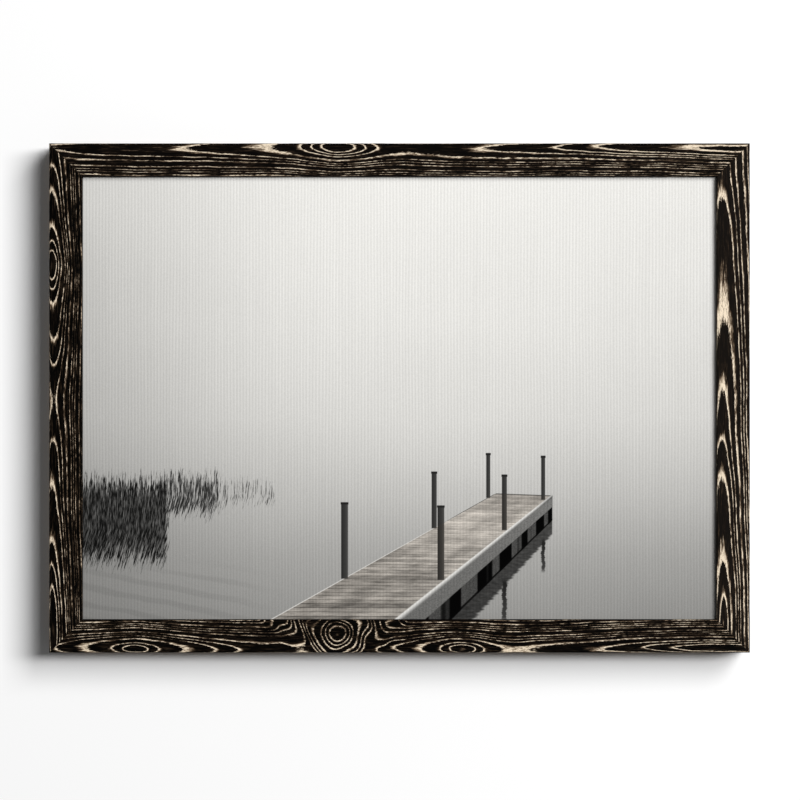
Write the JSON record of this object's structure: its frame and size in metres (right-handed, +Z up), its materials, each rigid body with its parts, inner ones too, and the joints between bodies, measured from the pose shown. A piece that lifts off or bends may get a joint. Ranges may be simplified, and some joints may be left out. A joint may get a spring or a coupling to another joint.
{
  "type": "framed canvas print",
  "caption": "Rectangular canvas print on keyed stretcher bars in a mitred, grained wood frame, with turn buttons, ring hangers and bumpers on the back.",
  "frame": {"origin": "the middle of the picture in the wall plane, where the bumpers end", "axes": "+X to the right as seen from the front, +Y into the wall, +Z up"},
  "size_m": [0.674, 0.043, 0.49],
  "materials": {
    "frame_wood": "near-black stain, open grain wiped with cream, dull satin",
    "stretcher_wood": "bare planed softwood",
    "key_wood": "bare sawn hardwood",
    "canvas": "matt printed cotton canvas",
    "nail_steel": "blued sheet steel",
    "staple_wire": "galvanised flat wire",
    "hardware_steel": "zinc-plated pressed steel",
    "screw_steel": "zinc-plated steel",
    "bumper_rubber": "matt moulded rubber"
  },
  "bodies": {
    "picture": {"frame_rail_top": "frame_wood", "stretcher_bar_top": "stretcher_wood", "frame_rail_bottom": "frame_wood", "stretcher_bar_bottom": "stretcher_wood", "frame_rail_left": "frame_wood", "stretcher_bar_left": "stretcher_wood", "frame_rail_right": "frame_wood", "stretcher_bar_right": "stretcher_wood", "corner_nails": "nail_steel", "printed_canvas": "canvas", "canvas_staples": "staple_wire", "turn_button_screws": "screw_steel", "hanger_screws": "screw_steel", "hanger_strap_left": "hardware_steel", "wall_bumper_left": "bumper_rubber", "hanger_strap_right": "hardware_steel", "wall_bumper_right": "bumper_rubber"},
    "corner_key_top_right": {"corner_key_top_right": "key_wood"},
    "corner_key_top_left": {"corner_key_top_left": "key_wood"},
    "corner_key_bottom_left": {"corner_key_bottom_left": "key_wood"},
    "corner_key_bottom_right": {"corner_key_bottom_right": "key_wood"},
    "corner_key_left_top": {"corner_key_left_top": "key_wood"},
    "corner_key_left_bottom": {"corner_key_left_bottom": "key_wood"},
    "corner_key_right_bottom": {"corner_key_right_bottom": "key_wood"},
    "corner_key_right_top": {"corner_key_right_top": "key_wood"},
    "turn_button_top_left": {"turn_button_top_left": "hardware_steel"},
    "turn_button_top_right": {"turn_button_top_right": "hardware_steel"},
    "turn_button_bottom_left": {"turn_button_bottom_left": "hardware_steel"},
    "turn_button_bottom_right": {"turn_button_bottom_right": "hardware_steel"},
    "turn_button_left": {"turn_button_left": "hardware_steel"},
    "turn_button_right": {"turn_button_right": "hardware_steel"},
    "hanger_ring_left": {"hanger_ring_left": "hardware_steel"},
    "hanger_ring_right": {"hanger_ring_right": "hardware_steel"}
  },
  "joints": [
    {"name": "turn_button_top_left_turn", "type": "hinge", "parent": "picture", "child": "turn_button_top_left", "pos_m": [-0.165, -0.005, 0.2285], "axis": [0, 1, 0], "range_deg": [-90, 90]},
    {"name": "turn_button_top_right_turn", "type": "hinge", "parent": "picture", "child": "turn_button_top_right", "pos_m": [0.165, -0.005, 0.2285], "axis": [0, 1, 0], "range_deg": [-90, 90]},
    {"name": "turn_button_bottom_left_turn", "type": "hinge", "parent": "picture", "child": "turn_button_bottom_left", "pos_m": [-0.165, -0.005, -0.2285], "axis": [0, 1, 0], "range_deg": [-90, 90]},
    {"name": "turn_button_bottom_right_turn", "type": "hinge", "parent": "picture", "child": "turn_button_bottom_right", "pos_m": [0.165, -0.005, -0.2285], "axis": [0, 1, 0], "range_deg": [-90, 90]},
    {"name": "turn_button_left_turn", "type": "hinge", "parent": "picture", "child": "turn_button_left", "pos_m": [-0.3205, -0.005, 0], "axis": [0, 1, 0], "range_deg": [-90, 90]},
    {"name": "turn_button_right_turn", "type": "hinge", "parent": "picture", "child": "turn_button_right", "pos_m": [0.3205, -0.005, 0], "axis": [0, 1, 0], "range_deg": [-90, 90]},
    {"name": "corner_key_top_right_slide", "type": "slide", "parent": "picture", "child": "corner_key_top_right", "axis": [0, 0, -1], "range_m": [0, 0.024]},
    {"name": "corner_key_top_left_slide", "type": "slide", "parent": "picture", "child": "corner_key_top_left", "axis": [0, 0, -1], "range_m": [0, 0.024]},
    {"name": "corner_key_bottom_left_slide", "type": "slide", "parent": "picture", "child": "corner_key_bottom_left", "axis": [0, 0, 1], "range_m": [0, 0.024]},
    {"name": "corner_key_bottom_right_slide", "type": "slide", "parent": "picture", "child": "corner_key_bottom_right", "axis": [0, 0, 1], "range_m": [0, 0.024]},
    {"name": "corner_key_left_top_slide", "type": "slide", "parent": "picture", "child": "corner_key_left_top", "axis": [1, 0, 0], "range_m": [0, 0.024]},
    {"name": "corner_key_left_bottom_slide", "type": "slide", "parent": "picture", "child": "corner_key_left_bottom", "axis": [1, 0, 0], "range_m": [0, 0.024]},
    {"name": "corner_key_right_bottom_slide", "type": "slide", "parent": "picture", "child": "corner_key_right_bottom", "axis": [-1, 0, 0], "range_m": [0, 0.024]},
    {"name": "corner_key_right_top_slide", "type": "slide", "parent": "picture", "child": "corner_key_right_top", "axis": [-1, 0, 0], "range_m": [0, 0.024]},
    {"name": "hanger_ring_left_swing", "type": "hinge", "parent": "picture", "child": "hanger_ring_left", "pos_m": [-0.32425, -0.00272, 0.127], "axis": [-1, 0, 0], "range_deg": [0, 172]},
    {"name": "hanger_ring_right_swing", "type": "hinge", "parent": "picture", "child": "hanger_ring_right", "pos_m": [0.32425, -0.00272, 0.127], "axis": [-1, 0, 0], "range_deg": [0, 172]}
  ]
}
